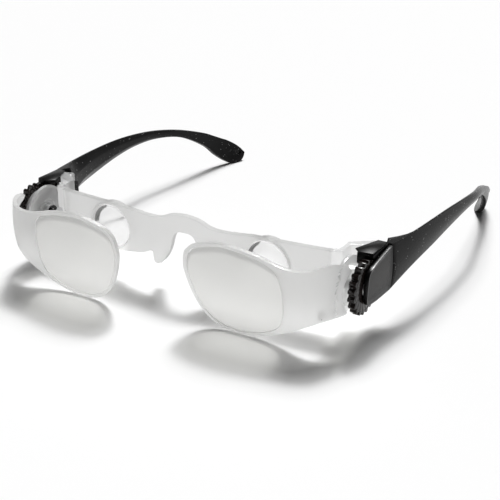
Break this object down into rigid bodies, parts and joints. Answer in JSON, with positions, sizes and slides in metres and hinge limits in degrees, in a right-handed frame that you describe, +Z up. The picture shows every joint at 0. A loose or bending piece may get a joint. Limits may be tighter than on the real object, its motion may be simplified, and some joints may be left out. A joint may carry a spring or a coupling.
{
  "type": "binocular glasses",
  "caption": "Spectacle-form binoculars: big front lenses on sliding wrap-round carriers, small eye lenses in a clouded frame, ribbed focus wheels and curved folding temples.",
  "frame": {"origin": "On the floor under the middle of the glasses: centre of the bounding box in X and Y, and its bottom in Z.", "axes": "+Z is up. The front lenses face -Y and the temples run to +Y. X runs from one temple to the other, with the bridge at X = 0."},
  "size_m": [0.159, 0.171, 0.0342],
  "materials": {
    "frosted_plastic": "clouded translucent moulding, fine satin",
    "carrier_plastic": "translucent, faintly clouded, polished rim",
    "lens_glass": "clear, coated",
    "clear_plastic": "clear moulded plastic, polished",
    "steel": "plain small hardware",
    "gloss_black": "polished black",
    "cover_black": "polished dark warm grey, raised border",
    "satin_black": "satin black",
    "temple_black": "satin black with fine light specks"
  },
  "bodies": {
    "frame": {"inner_frame": "frosted_plastic", "ocular_lens_right": "lens_glass", "wheel_axle_right": "steel", "axle_clip_right": "steel", "spring_washer_right": "steel", "end_cap_right": "satin_black", "side_cover_right": "cover_black", "cover_screw_right": "steel", "cap_screw_right": "steel", "hinge_screw_right": "steel", "ocular_lens_left": "lens_glass", "wheel_axle_left": "steel", "axle_clip_left": "steel", "spring_washer_left": "steel", "end_cap_left": "satin_black", "side_cover_left": "cover_black", "cover_screw_left": "steel", "cap_screw_left": "steel", "hinge_screw_left": "steel"},
    "right_carrier": {"front_carrier_right": "carrier_plastic", "objective_lens_right": "lens_glass", "follower_pin_right": "steel"},
    "left_carrier": {"front_carrier_left": "carrier_plastic", "objective_lens_left": "lens_glass", "follower_pin_left": "steel"},
    "right_wheel": {"cam_drum_right": "clear_plastic", "thumbwheel_right": "gloss_black"},
    "left_wheel": {"cam_drum_left": "clear_plastic", "thumbwheel_left": "gloss_black"},
    "right_temple": {"temple_right": "temple_black"},
    "left_temple": {"temple_left": "temple_black"}
  },
  "joints": [
    {"name": "right_focus_slide", "type": "slide", "parent": "frame", "child": "right_carrier", "axis": [0, -1, 0], "range_m": [-0.001, 0.0055]},
    {"name": "left_focus_slide", "type": "slide", "parent": "frame", "child": "left_carrier", "axis": [0, -1, 0], "range_m": [-0.0052, 0.0013]},
    {"name": "right_focus_wheel", "type": "hinge", "parent": "frame", "child": "right_wheel", "pos_m": [0.07, -0.05953, 0.021], "axis": [1, 0, 0], "range_deg": [-17, 93]},
    {"name": "left_focus_wheel", "type": "hinge", "parent": "frame", "child": "left_wheel", "pos_m": [-0.07, -0.05953, 0.021], "axis": [1, 0, 0], "range_deg": [-88, 22]},
    {"name": "right_temple_fold", "type": "hinge", "parent": "frame", "child": "right_temple", "pos_m": [0.0704, -0.04013, 0.022], "axis": [0, 0, 1], "range_deg": [0, 84]},
    {"name": "left_temple_fold", "type": "hinge", "parent": "frame", "child": "left_temple", "pos_m": [-0.0704, -0.04013, 0.022], "axis": [0, 0, -1], "range_deg": [0, 78]}
  ],
  "couplings": [
    {"joint": "right_focus_wheel", "follows": "right_focus_slide", "rad_per_m": 294.12},
    {"joint": "left_focus_wheel", "follows": "left_focus_slide", "rad_per_m": 294.12}
  ]
}
